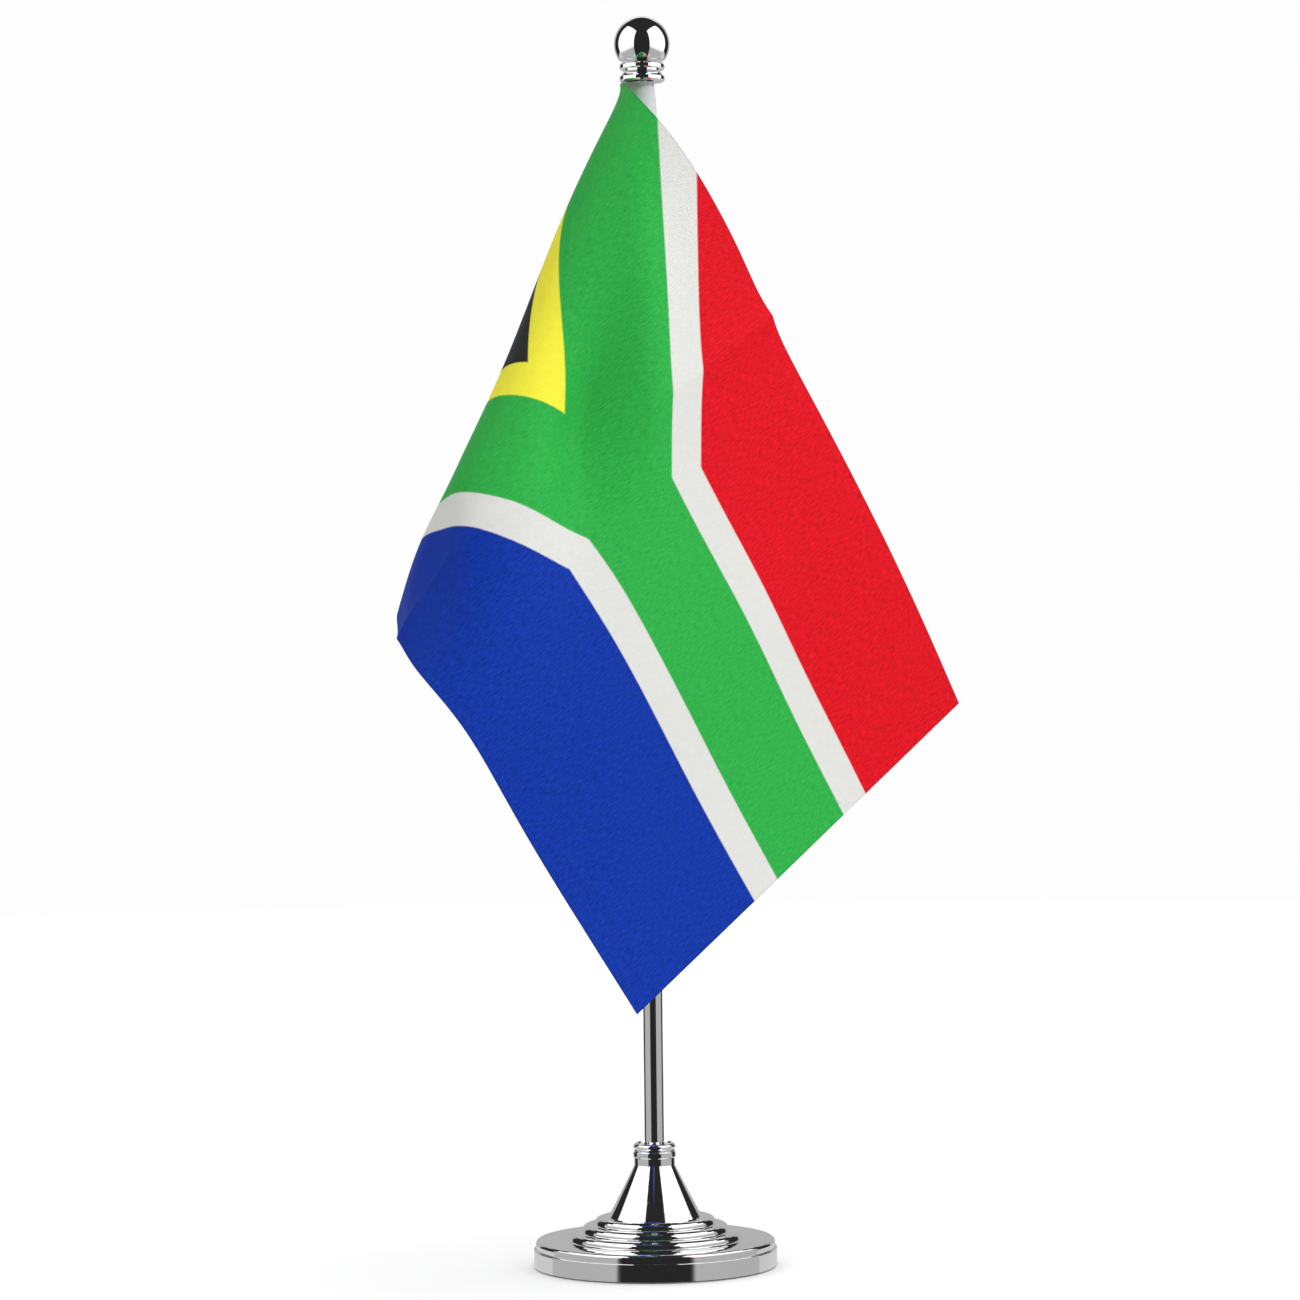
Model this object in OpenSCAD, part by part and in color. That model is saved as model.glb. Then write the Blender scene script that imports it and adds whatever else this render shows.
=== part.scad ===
// Desk flag stand: a stepped chrome base with a bell neck, a thin pole with a ball finial,
// and a printed flag that hangs from a pocket round the pole.
// Frame: +Z up, the pole's axis is Z, z = 0 is the table under the foot pad, and -Y is the front.

/* [Base] */
// Diameter over the rim band
rim_d = 62; // [56:1:70]
// Height of the rim band's top edge above the table
rim_z = 4.9; // [4.4:0.1:5.4]
// How far the brim's edge stands in from the rim band
brim_set_in = 0.5; // [0.3:0.1:1]
// Height of the flat brim above the table
brim_z = 7; // [6.4:0.1:7.6]
// Diameter of the lowest of the three rounded steps
low_step_d = 44; // [42:0.2:46]
// How much smaller each step's diameter is than the one below
step_shrink = 6.6; // [5.6:0.2:6.8]
// Height of each rounded step
step_h = 1.9; // [1.6:0.1:2.4]
// Thickness of the pressed sheet metal
sheet_t = 0.6; // [0.4:0.1:0.8]
// Thickness of the foot pad
pad_t = 1; // [0.8:0.1:1.2]
// Thickness of the closing plate
plate_t = 0.8; // [0.6:0.1:1]

/* [Neck] */
// Diameter of the bell where it stands on the top step
bell_d = 23.8; // [20:0.2:24]
// Height of the bell's slope, from the top step to the straight neck
bell_h = 13.2; // [10:0.1:16]
// Diameter of the straight neck
neck_d = 10.3; // [9.6:0.1:10.6]
// Length of the straight neck below the collar
neck_h = 1.8; // [1:0.1:4]
// Diameter of the collar over its rolled lip and its band
collar_d = 10.8; // [10.4:0.1:11.6]
// Height of the collar
collar_h = 3.8; // [3.8:0.1:5]

/* [Pole] */
// Outer diameter of the pole's tube
pole_d = 5; // [4.8:0.1:5.2]
// Wall thickness of the pole's tube
pole_wall = 0.5; // [0.4:0.1:0.6]
// Length of the pole's tube
pole_length = 272.8; // [260:0.2:300]
// Length of the threaded stud under the tube
foot_stud_length = 8; // [6:0.5:8]

/* [Finial] */
// Diameter of the ball
ball_d = 14.2; // [12:0.2:16]
// Diameter of the two flared rings
ring_d = 11.5; // [10:0.1:12]
// Height of each flared ring
ring_h = 2.6; // [2:0.1:2.8]
// Diameter of the waist between the rings
waist_d = 8.8; // [8:0.2:9]
// Diameter of the stud in the finial
finial_stud_d = 2.9; // [2.6:0.1:3]

/* [Flag] */
// Cut length of the flag, from the pocket's seam to the free edge
flag_length = 210; // [190:5:220]
// Thickness of the cloth's solid
cloth_t = 0.6; // [0.5:0.1:0.8]
// Facets along the flag
cloth_steps = 42; // [28:7:56]
// Facets down the flag
cloth_rows = 22; // [16:2:30]

/* [Pocket] */
// Inner diameter of the cloth pocket round the pole
pocket_d = 5.8; // [5.6:0.1:6.2]
// Thickness of the pocket's cloth
pocket_t = 0.5; // [0.4:0.1:0.6]
// Distance of the seam from the pole's axis
seam_x = 5.5; // [5:0.1:6.5]
// Length of one stitch
stitch_length = 2.2; // [1.8:0.2:3]
// Gap between stitches
stitch_gap = 0.9; // [0.6:0.1:1.2]

/* [Hidden] */
$fn = 96;

// Colours
chrome_colour = [0.80, 0.81, 0.83];
steel_colour = [0.55, 0.56, 0.58];
iron_colour = [0.25, 0.25, 0.27];
pad_colour = [0.10, 0.10, 0.11];
pocket_colour = [0.92, 0.92, 0.92];
flag_colour = [0.10, 0.60, 0.25];

// Base, worked out from the table up
rim_r = rim_d / 2;
brim_r = rim_r - brim_set_in;
rim_foot_z = 0.4;           // the rim hangs just clear of the table
step_count = 3;
top_step_z = brim_z + step_count * step_h;
low_step_r = low_step_d / 2;
step_in = step_shrink / 2;
step_fillet = 0.4;          // hollow rounding at each step's foot
step_round = step_h - step_fillet;
shoulder_r = 0.9;           // roundness of the brim's edge
ledge_r = 0.3;              // roundness of the rim band's top edge
wall_play = 0.2;            // room between the shell and what it holds
pad_r = rim_r - 3;
plate_z = pad_t;
weight_z = plate_z + plate_t;
weight_r = rim_r - sheet_t - 1;

// Screw from below: an M4
screw_r = 1.95;
screw_hole_r = 2.2;
thread_r = 2;
screw_head_r = 3.5;
screw_head_h = 2.4;
washer_r = 4.8;
washer_t = 0.8;
screw_seat_z = weight_z + 3.6;
screw_recess_r = 5.2;
slot_w = 0.8;
slot_l = 4;

// Neck
bell_z = top_step_z;
neck_z = bell_z + bell_h;
collar_z = neck_z + neck_h;
collar_top_z = collar_z + collar_h;
spigot_r = 3.6;
spigot_h = 1;
bell_sag = 0.1;             // how far the bell's slope curves inwards
bell_bore_bottom = 6;       // depth of the tapped hole for the screw from below
lip_r = 1;                  // roundness of the collar's rolled lip
band_h = 1.7;               // height of the plain band under the lip
band_round = 0.35;
groove_depth = 0.3;         // groove between the lip and the band
lip_wall = 0.8;
cup_depth = 1.2;
collar_bore_r = pole_d / 2 + 0.08;

// Pole
pole_r = pole_d / 2;
pole_bore_r = pole_r - pole_wall;
pole_z = collar_z + spigot_h;
pole_top_z = pole_z + pole_length;
plug_h = 12;
foot_stud_r = thread_r - 0.08;
finial_stud_r = finial_stud_d / 2;
tip_thread_r = finial_stud_r + 0.06;
tip_thread_depth = 8;

// Finial
hem_gap = 0.1;
hem_t = 0.5;
collar_boss_h = 0.8;        // boss that stands on the pole's end, inside the hem's hole
collar_boss_r = tip_thread_r + 0.25;
hem_hole_r = collar_boss_r + 0.3;
rings_z = pole_top_z + collar_boss_h;
ring_gap = 0.4;
ball_seat_z = rings_z + 2 * ring_h + ring_gap;
ball_r = ball_d / 2;
ball_seat_r = ring_d / 2 + 0.15;
ball_z = ball_seat_z + sqrt(ball_r * ball_r - ball_seat_r * ball_seat_r);
stud_engaged = 7;
stud_in_ball = 3;

// Pocket
pocket_r = pocket_d / 2;
pocket_outer_r = pocket_r + pocket_t;
sleeve_top_z = pole_top_z + hem_gap + hem_t;
seam_t = 0.7;
stitch_t = 0.35;
stitch_x = seam_x - 0.6;

// Flag. Its drape is given at stations spaced evenly from the seam to the free edge.
// Each holds three points that the cloth passes through, on its top edge, halfway down and on
// its bottom edge, in millimetres from the flag's top corner at the seam, at a length of 210.
drape_length = 210;
drape_drop = 134.5;         // cut height of the flag at that length
drape = [
    [[0, 0, 0], [0, 0, -drape_drop / 2], [0, 0, -drape_drop]],
    [[5, -29, -8], [-22, -19, -68], [-27, -12, -134]],
    [[23, -30, -37], [-24, -45, -76], [-52, -28, -134]],
    [[37, -20, -60], [-12, -57, -96], [-51, -58, -141]],
    [[50, -12, -84], [5, -49, -120], [-43, -80, -156]],
    [[62, -4, -110], [18, -41, -146], [-26, -72, -182]],
    [[74, 6, -134], [31, -30, -170], [-14, -66, -208]],
    [[86, 18, -160], [44, -20, -196], [2, -58, -234]],
];
flag_scale = flag_length / drape_length;
flag_drop = drape_drop * flag_scale;
corner_z = sleeve_top_z - 0.3;
seam_overlap = 0.3;         // how far the cloth runs into the pocket's seam

// ---- helpers ----

// Points along an arc round (x, z), from angle a to angle b
function arc(x, z, r, a, b, n = 8) =
    [for (i = [0 : n]) [x + r * cos(a + (b - a) * i / n), z + r * sin(a + (b - a) * i / n)]];

// Turned solid from an outline of radius and height
module turned(outline) {
    rotate_extrude($fn = 144) polygon(outline);
}

// Tube between two heights
module ring(outer, inner, z, h) {
    translate([0, 0, z]) difference() {
        cylinder(r = outer, h = h);
        translate([0, 0, -1]) cylinder(r = inner, h = h + 2);
    }
}

// ---- base ----

function step_r(k) = low_step_r - k * step_in;
function step_z(k) = brim_z + k * step_h;

// Outside of the shell when inset is 0, inside of its sheet metal when inset is sheet_t
function shell_outline(inset) = concat(
    [[screw_hole_r, top_step_z - inset]],
    [for (k = [step_count - 1 : -1 : 0], p = concat(
        arc(step_r(k) - step_round, step_z(k + 1) - step_round, step_round - inset, 90, 0),
        arc(step_r(k) + step_fillet, step_z(k) + step_fillet, step_fillet + inset, 180, 270, 5))) p],
    arc(brim_r - shoulder_r, brim_z - shoulder_r, shoulder_r - inset, 90, 0),
    inset == 0
        ? concat([[brim_r, rim_z]], arc(rim_r - ledge_r, rim_z - ledge_r, ledge_r, 90, 0, 4),
            [[rim_r, rim_foot_z]])
        : [[rim_r - inset, rim_z - inset], [rim_r - inset, rim_foot_z]]);

function reversed(list) = [for (i = [len(list) - 1 : -1 : 0]) list[i]];

module base_shell() {
    color(chrome_colour)
        turned(concat(shell_outline(0), reversed(shell_outline(sheet_t))));
}

module base_weight() {
    color(iron_colour) difference() {
        union() {
            translate([0, 0, weight_z])
                cylinder(r = weight_r, h = brim_z - sheet_t - wall_play - weight_z);
            for (k = [0 : step_count - 1])
                translate([0, 0, weight_z])
                    cylinder(r = step_r(k) - step_h, h = step_z(k + 1) - sheet_t - wall_play - weight_z);
        }
        translate([0, 0, weight_z - 1]) cylinder(r = screw_hole_r, h = top_step_z);
        translate([0, 0, weight_z - 1]) cylinder(r = screw_recess_r, h = screw_seat_z - weight_z + 1);
    }
}

module base_plate() {
    color(steel_colour) translate([0, 0, plate_z])
        cylinder(r = rim_r - sheet_t - wall_play, h = plate_t);
}

module base_pad() {
    color(pad_colour) turned(concat(
        [[0, 0]], arc(pad_r - 0.3, 0.3, 0.3, -90, 0, 4), [[pad_r, pad_t], [0, pad_t]]));
}

module base_washer() {
    color(steel_colour) ring(washer_r, screw_hole_r, screw_seat_z - washer_t, washer_t);
}

module base_screw() {
    head_z = screw_seat_z - washer_t - screw_head_h;
    color(steel_colour) difference() {
        union() {
            translate([0, 0, head_z]) cylinder(r = screw_head_r, h = screw_head_h);
            translate([0, 0, head_z]) cylinder(r = screw_r, h = bell_z + bell_bore_bottom - 0.5 - head_z);
        }
        for (turn = [0, 90])
            rotate(turn) translate([-slot_l / 2, -slot_w / 2, head_z - 1]) cube([slot_l, slot_w, 2.2]);
    }
}

// ---- neck ----

// Bell outline: a straight slope from foot to neck, pulled inwards by bell_sag halfway up
function bell_slope(n) = [for (i = [0 : n]) let (f = i / n)
    [bell_d / 2 + (neck_d / 2 - bell_d / 2) * f - bell_sag * 4 * f * (1 - f), bell_z + bell_h * f]];

module neck_bell() {
    color(chrome_colour) difference() {
        turned(concat([[0, bell_z]], bell_slope(16),
            [[neck_d / 2, collar_z], [spigot_r, collar_z], [spigot_r, pole_z], [0, pole_z]]));
        translate([0, 0, bell_z - 1]) cylinder(r = thread_r, h = bell_bore_bottom + 1);
        translate([0, 0, pole_z - foot_stud_length - 0.5]) cylinder(r = thread_r, h = foot_stud_length + 2);
    }
}

module neck_collar() {
    collar_r = collar_d / 2;
    cup_r = collar_r - lip_wall - 0.4;
    color(chrome_colour) turned(concat(
        [[spigot_r, collar_z]],
        arc(collar_r - band_round, collar_z + band_round, band_round, -90, 0, 4),
        arc(collar_r - band_round, collar_z + band_h - band_round, band_round, 0, 70, 4),
        [[collar_r - groove_depth, collar_z + band_h]],
        arc(collar_r - lip_r, collar_top_z - lip_r, lip_r, -45, 90),
        [[cup_r, collar_top_z - 0.4], [cup_r, collar_top_z - cup_depth],
            [collar_bore_r, collar_top_z - cup_depth], [collar_bore_r, pole_z], [spigot_r, pole_z]]));
}

// ---- pole ----

module pole_tube() {
    color(chrome_colour) ring(pole_r, pole_bore_r, pole_z, pole_length);
}

module pole_foot() {
    color(steel_colour) {
        translate([0, 0, pole_z]) cylinder(r = pole_bore_r, h = plug_h);
        translate([0, 0, pole_z - foot_stud_length]) cylinder(r = foot_stud_r, h = foot_stud_length + 1);
    }
}

module pole_tip() {
    color(steel_colour) difference() {
        translate([0, 0, pole_top_z - plug_h]) cylinder(r = pole_bore_r, h = plug_h);
        translate([0, 0, pole_top_z - tip_thread_depth]) cylinder(r = tip_thread_r, h = tip_thread_depth + 1);
    }
}

// ---- finial ----

// One flared ring: a narrow shoulder on top that widens to a rounded edge below
function flare(z) = [
    [waist_d / 2, z], [ring_d / 2 - 0.35, z], [ring_d / 2, z + 0.35],
    [ring_d / 2, z + ring_h * 0.45], [waist_d / 2 + 0.25, z + ring_h], [waist_d / 2, z + ring_h]];

module finial_collar() {
    color(chrome_colour) difference() {
        turned(concat(
            [[0, pole_top_z], [collar_boss_r, pole_top_z], [collar_boss_r, rings_z]],
            flare(rings_z), flare(rings_z + ring_h + ring_gap), [[0, ball_seat_z]]));
        translate([0, 0, pole_top_z - 1]) cylinder(r = finial_stud_r, h = 20);
    }
}

module finial_ball() {
    color(chrome_colour) difference() {
        translate([0, 0, ball_z]) sphere(r = ball_r);
        translate([0, 0, ball_seat_z - ball_r]) cylinder(r = ball_r * 2, h = ball_r);
        translate([0, 0, ball_seat_z - 1]) cylinder(r = finial_stud_r, h = stud_in_ball + 1);
    }
}

module finial_stud() {
    color(steel_colour) translate([0, 0, pole_top_z - stud_engaged])
        cylinder(r = finial_stud_r, h = ball_seat_z + stud_in_ball - pole_top_z + stud_engaged);
}

// ---- flag ----

// Catmull-Rom curve through the stations; past either end the line of stations runs straight on
function station(i, row) = let (n = len(drape) - 1)
    i < 0 ? 2 * drape[0][row] - drape[1][row]
    : i > n ? 2 * drape[n][row] - drape[n - 1][row]
    : drape[i][row];

function along(t, row) = let (
        x = t * (len(drape) - 1), i = min(floor(x), len(drape) - 2), f = x - i,
        a = station(i - 1, row), b = station(i, row), c = station(i + 1, row), d = station(i + 2, row))
    (2 * b + (c - a) * f + (2 * a - 5 * b + 4 * c - d) * f * f
        + (3 * b - a - 3 * c + d) * f * f * f) / 2;

// Point of the cloth: t runs from the seam to the free edge, s from the top edge to the bottom
function cloth_point(t, s) =
    [-seam_x, 0, corner_z] + flag_scale * (
        along(t, 0) * (1 - s) * (1 - 2 * s)
        + along(t, 1) * 4 * s * (1 - s)
        + along(t, 2) * s * (2 * s - 1));

function unit(v) = v / norm(v);

// Upright direction across the cloth, from two short steps along its surface
function cloth_normal(t, s) = let (d = 0.01,
        t0 = max(t - d, 0), t1 = min(t + d, 1), s0 = max(s - d, 0), s1 = min(s + d, 1))
    unit(cross(cloth_point(t1, s) - cloth_point(t0, s), cloth_point(t, s1) - cloth_point(t, s0)));

// The cloth's first column runs a little way into the seam
function cloth_side(i, j, side) = let (t = i / cloth_steps, s = j / cloth_rows)
    cloth_point(t, s) + cloth_normal(t, s) * side * cloth_t / 2
    + (i == 0 ? [seam_overlap, 0, 0] : [0, 0, 0]);

module flag_cloth() {
    w = cloth_steps + 1;
    h = cloth_rows + 1;
    back = w * h;
    points = [for (side = [1, -1], i = [0 : cloth_steps], j = [0 : cloth_rows]) cloth_side(i, j, side)];
    sheets = [for (i = [0 : cloth_steps - 1], j = [0 : cloth_rows - 1]) let (a = i * h + j)
        each [[a, a + 1, a + h + 1], [a, a + h + 1, a + h],
            [back + a, back + a + h + 1, back + a + 1], [back + a, back + a + h, back + a + h + 1]]];
    long_edges = [for (i = [0 : cloth_steps - 1]) let (a = i * h, b = i * h + cloth_rows)
        each [[a, a + h, back + a + h], [a, back + a + h, back + a],
            [b, back + b, back + b + h], [b, back + b + h, b + h]]];
    short_edges = [for (j = [0 : cloth_rows - 1]) let (a = j, b = cloth_steps * h + j)
        each [[a, back + a, back + a + 1], [a, back + a + 1, a + 1],
            [b, b + 1, back + b + 1], [b, back + b + 1, back + b]]];
    color(flag_colour) polyhedron(points, concat(sheets, long_edges, short_edges));
}

// Cross-section of the pocket: a circle drawn out to the seam by its two tangents
function teardrop(r, reach, end_w) = let (tangent = acos(r / reach)) concat(
    [[-reach, -end_w / 2]], arc(0, 0, r, tangent - 180, 180 - tangent, 48), [[-reach, end_w / 2]]);

module flag_sleeve() {
    color(pocket_colour) translate([0, 0, corner_z - flag_drop])
        linear_extrude(height = flag_drop + sleeve_top_z - corner_z) difference() {
            polygon(teardrop(pocket_outer_r, seam_x, seam_t));
            polygon(teardrop(pocket_r, seam_x - 1.2, 0.1));
        }
}

module sleeve_top() {
    color(pocket_colour) ring(pocket_r, hem_hole_r, pole_top_z + hem_gap, hem_t);
}

// A row of stitches that shows on both faces of the seam
module sleeve_stitching() {
    pitch = stitch_length + stitch_gap;
    count = floor((flag_drop - 2 * stitch_gap) / pitch);
    color(pocket_colour) for (k = [0 : count - 1])
        translate([-stitch_x - stitch_t / 2, -seam_t / 2 - stitch_t, corner_z - stitch_gap - stitch_length - k * pitch])
            cube([stitch_t, seam_t + 2 * stitch_t, stitch_length]);
}

base_shell();
base_weight();
base_plate();
base_pad();
base_screw();
base_washer();
neck_bell();
neck_collar();
pole_tube();
pole_foot();
pole_tip();
finial_collar();
finial_ball();
finial_stud();
flag_cloth();
flag_sleeve();
sleeve_top();
sleeve_stitching();
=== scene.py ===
"""Desk flag stand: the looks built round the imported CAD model.

Metres, +Z up along the pole, -Y towards the flag's front. Lengths written as N * MM are millimetres.
"""
import math

import bpy
import numpy as np
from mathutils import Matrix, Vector


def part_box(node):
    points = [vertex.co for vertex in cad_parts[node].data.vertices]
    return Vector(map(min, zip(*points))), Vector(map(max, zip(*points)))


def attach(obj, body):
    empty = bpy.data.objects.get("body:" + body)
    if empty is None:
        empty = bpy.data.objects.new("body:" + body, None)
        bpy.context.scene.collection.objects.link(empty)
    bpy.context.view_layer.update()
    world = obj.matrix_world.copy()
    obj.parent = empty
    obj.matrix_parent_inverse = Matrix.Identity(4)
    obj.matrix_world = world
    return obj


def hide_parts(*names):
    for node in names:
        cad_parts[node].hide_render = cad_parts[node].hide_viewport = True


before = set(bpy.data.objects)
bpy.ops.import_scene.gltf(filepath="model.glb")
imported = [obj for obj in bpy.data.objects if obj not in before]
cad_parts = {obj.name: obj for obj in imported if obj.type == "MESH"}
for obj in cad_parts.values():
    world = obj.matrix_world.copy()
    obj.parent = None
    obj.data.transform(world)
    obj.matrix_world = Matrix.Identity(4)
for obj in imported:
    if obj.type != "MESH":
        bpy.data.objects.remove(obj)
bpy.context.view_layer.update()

MM = 0.001
TAU = 2 * math.pi

# ---------------------------------------------------------------- camera

CAMERA_AT = (0.33, -1050.6, 157.2)                 # millimetres: at about half the object's height
CAMERA_ROLL = 0.66                                 # degrees
FOCAL_LENGTH, SENSOR_WIDTH = 113.93, 36.0

camera_data = bpy.data.cameras.new("camera")
camera_data.lens = FOCAL_LENGTH
camera_data.sensor_width = SENSOR_WIDTH
camera_data.clip_start, camera_data.clip_end = 0.05, 50.0
camera = bpy.data.objects.new("camera", camera_data)
camera.location = [c * MM for c in CAMERA_AT]
camera.rotation_euler = (math.radians(90), math.radians(CAMERA_ROLL), 0)
bpy.context.scene.collection.objects.link(camera)
bpy.context.scene.camera = camera
bpy.context.scene.view_settings.view_transform = "Standard"


# ---------------------------------------------------------------- helpers

class Graph:
    """Short hand for building one node tree."""

    def __init__(self, tree):
        self.tree = tree
        tree.nodes.clear()

    def node(self, kind, inputs=None, **settings):
        made = self.tree.nodes.new(kind)
        for key, value in settings.items():
            setattr(made, key, value)
        for key, value in (inputs or {}).items():
            self.plug(value, made.inputs[key])
        return made

    def plug(self, value, socket):
        if isinstance(value, bpy.types.NodeSocket):
            self.tree.links.new(value, socket)
        else:
            socket.default_value = value

    def math(self, operation, *values):
        made = self.tree.nodes.new("ShaderNodeMath")
        made.operation = operation
        for socket, value in zip(made.inputs, values):
            self.plug(value, socket)
        return made.outputs[0]

    def between(self, value, low, high, to_low=0.0, to_high=1.0, smooth=False):
        """value carried from low..high to to_low..to_high, held at both ends."""
        made = self.node("ShaderNodeMapRange", {"Value": value, "From Min": low, "From Max": high,
                                                "To Min": to_low, "To Max": to_high})
        made.interpolation_type = "SMOOTHSTEP" if smooth else "LINEAR"
        return made.outputs[0]

    def blend(self, share, a, b):
        """Colour a where share is 0, b where it is 1."""
        made = self.tree.nodes.new("ShaderNodeMix")
        made.data_type = "RGBA"
        for socket, value in ((made.inputs[0], share), (made.inputs[6], a), (made.inputs[7], b)):
            self.plug(value, socket)
        return made.outputs[2]

    def noise(self, vector, scale, detail=2.0, roughness=0.5):
        return self.node("ShaderNodeTexNoise", {"Vector": vector, "Scale": scale, "Detail": detail,
                                                "Roughness": roughness}).outputs["Fac"]

    def scaled(self, vector, scale, rotation=(0, 0, 0)):
        return self.node("ShaderNodeMapping", {"Vector": vector, "Scale": scale,
                                               "Rotation": rotation}).outputs[0]

    def bump(self, height, strength, distance, normal=None):
        inputs = {"Height": height, "Strength": strength, "Distance": distance}
        if normal is not None:
            inputs["Normal"] = normal
        return self.node("ShaderNodeBump", inputs).outputs[0]

    def principled(self, **inputs):
        shader = self.tree.nodes.new("ShaderNodeBsdfPrincipled")
        for key, value in inputs.items():
            self.plug(value, shader.inputs[key.replace("_", " ")])
        self.finish(shader)

    def finish(self, shader):
        out = self.tree.nodes.new("ShaderNodeOutputMaterial")
        self.tree.links.new(shader.outputs[0], out.inputs[0])


def material(name):
    made = bpy.data.materials.new(name)
    made.use_nodes = True
    return made, Graph(made.node_tree)


def add_mesh(name, points, faces, materials, smooth_angle=40, uvs=None, face_materials=None):
    """A mesh object from points in metres; edges sharper than smooth_angle stay crisp."""
    mesh = bpy.data.meshes.new(name)
    mesh.from_pydata([tuple(p) for p in points], [], [tuple(f) for f in faces])
    mesh.shade_smooth()
    if smooth_angle is not None:
        mesh.set_sharp_from_angle(angle=math.radians(smooth_angle))
    for m in materials:
        mesh.materials.append(m)
    if face_materials is not None:
        mesh.polygons.foreach_set("material_index", face_materials)
    if uvs is not None:
        layer = mesh.uv_layers.new(name="flat")
        corner = np.zeros(len(mesh.loops), np.int32)
        mesh.loops.foreach_get("vertex_index", corner)
        layer.data.foreach_set("uv", np.asarray(uvs, np.float32)[corner].ravel())
    mesh.update()
    obj = bpy.data.objects.new(name, mesh)
    bpy.context.scene.collection.objects.link(obj)
    return obj


def lathe(name, outline, materials, around=256, smooth_angle=40, closed=True):
    """Turned piece from an outline of (radius, height) in millimetres."""
    outline = np.array(outline, float)
    n = len(outline)
    turn = np.arange(around) * TAU / around
    points = np.stack([np.outer(outline[:, 0], np.cos(turn)), np.outer(outline[:, 0], np.sin(turn)),
                       np.repeat(outline[:, 1:2], around, 1)], -1).reshape(-1, 3) * MM
    faces = []
    for i in range(n if closed else n - 1):
        a, b = i * around, (i + 1) % n * around
        for k in range(around):
            m = (k + 1) % around
            # a closed outline runs anticlockwise and faces outwards; an open one faces up and inwards
            faces.append((a + k, a + m, b + m, b + k) if closed else (a + k, b + k, b + m, a + m))
    return add_mesh(name, points, faces, materials, smooth_angle)


# ---------------------------------------------------------------- materials

def chrome_material(name, smudge=1.0):
    """Mirror chrome plate: faint haze, hairline scratches and a slow ripple in the polish."""
    made, g = material(name)
    where = g.node("ShaderNodeTexCoord").outputs["Object"]
    haze = g.noise(where, 60, 4, 0.6)
    hair = g.noise(g.scaled(where, (900, 900, 60)), 1.0, 3, 0.65)
    scratches = g.between(hair, 0.66, 0.72)
    rough = g.math("ADD", g.between(haze, 0.35, 0.75, 0.025, 0.025 + 0.05 * smudge),
                   g.math("MULTIPLY", scratches, 0.05))
    tint = g.blend(g.between(haze, 0.3, 0.8), (0.90, 0.90, 0.91, 1), (0.84, 0.84, 0.85, 1))
    ripple = g.bump(g.noise(where, 130, 2, 0.4), 0.25, 0.00006)
    g.principled(Base_Color=tint, Metallic=1.0, Roughness=rough,
                 Normal=g.bump(scratches, 0.08, 0.00002, ripple))
    return made


def steel_material(name):
    """Zinc-plated steel with fine turning marks."""
    made, g = material(name)
    where = g.node("ShaderNodeTexCoord").outputs["Object"]
    marks = g.noise(g.scaled(where, (300, 300, 6000)), 1.0, 3, 0.6)
    cloud = g.noise(where, 220, 4, 0.6)
    colour = g.blend(g.between(cloud, 0.35, 0.7), (0.50, 0.50, 0.50, 1), (0.36, 0.36, 0.36, 1))
    g.principled(Base_Color=colour, Metallic=1.0, Roughness=g.between(marks, 0.3, 0.7, 0.22, 0.42),
                 Normal=g.bump(marks, 0.3, 0.00004))
    return made


def iron_material(name):
    """Rough sand-cast iron under thin grey paint."""
    made, g = material(name)
    where = g.node("ShaderNodeTexCoord").outputs["Object"]
    sand = g.noise(where, 1400, 5, 0.7)
    cloud = g.noise(where, 120, 3, 0.5)
    colour = g.blend(g.between(cloud, 0.35, 0.7), (0.050, 0.050, 0.055, 1), (0.095, 0.088, 0.082, 1))
    g.principled(Base_Color=colour, Metallic=0.55, Roughness=g.between(sand, 0.3, 0.7, 0.55, 0.8),
                 Normal=g.bump(sand, 0.8, 0.0003))
    return made


def pad_material(name):
    """Black closed-cell foam rubber."""
    made, g = material(name)
    where = g.node("ShaderNodeTexCoord").outputs["Object"]
    cells = g.node("ShaderNodeTexVoronoi", {"Vector": where, "Scale": 1900.0}).outputs["Distance"]
    dust = g.noise(where, 160, 4, 0.6)
    colour = g.blend(g.between(dust, 0.45, 0.75), (0.018, 0.018, 0.020, 1), (0.060, 0.058, 0.055, 1))
    g.principled(Base_Color=colour, Roughness=g.between(dust, 0.3, 0.7, 0.72, 0.9),
                 Normal=g.bump(cells, 0.6, 0.00025))
    return made


# Print of the flag. Its own grid is 90 x 60 units, with the hoist's seam at 0. The cut loses a strip at
# the top.
PRINT_WIDTH, PRINT_HEIGHT = 90.0, 60.0
PRINT_CUT = 2.3
FLAG_LENGTH, FLAG_DROP = 210.0, 134.5
BAND_INNER, BAND_OUTER = 6.0, 10.0
HOIST_APEX = 30.0
SLOPE = 1.5                                       # print units along for each unit across, on slanting bands

GREEN = (0.027, 0.400, 0.062, 1)
WHITE = (0.70, 0.70, 0.672, 1)
RED = (0.67, 0.003, 0.012, 1)
BLUE = (0.0020, 0.033, 0.345, 1)
YELLOW = (0.88, 0.82, 0.050, 1)
BLACK = (0.022, 0.024, 0.023, 1)


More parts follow.
